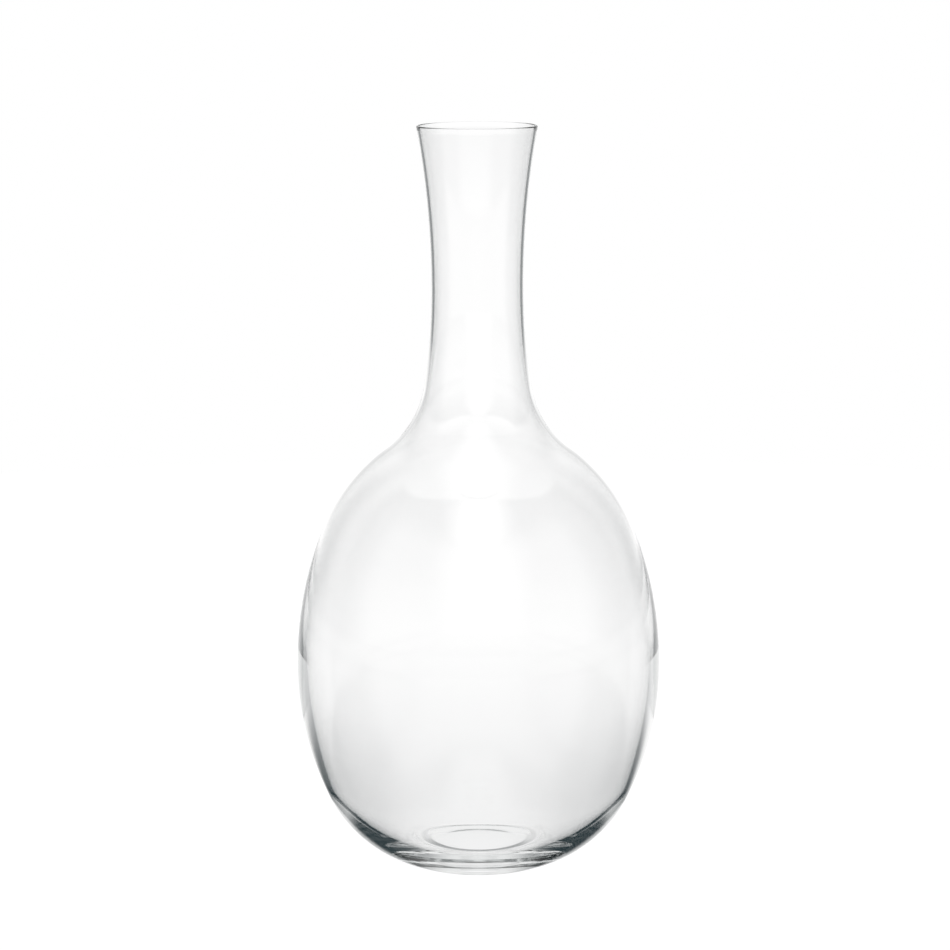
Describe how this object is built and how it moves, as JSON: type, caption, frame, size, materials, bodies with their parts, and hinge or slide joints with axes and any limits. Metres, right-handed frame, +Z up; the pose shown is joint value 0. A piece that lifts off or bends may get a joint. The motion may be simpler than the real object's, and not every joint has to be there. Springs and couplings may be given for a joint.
{
  "type": "balloon decanter",
  "caption": "Clear blown-glass decanter with a flared mouth, a long waisted neck, a balloon-shaped belly and a thick base with a hollow pressed up under it.",
  "frame": {"origin": "centre of the foot ring, on the surface that the decanter stands on", "axes": "+Z up along the axis of the vessel, through the middle of the mouth; X and Y are alike, because the vessel is round"},
  "size_m": [0.147, 0.147, 0.3],
  "materials": {
    "clear_glass": "clear, fire-polished"
  },
  "bodies": {
    "root": {"decanter": "clear_glass"}
  },
  "joints": []
}
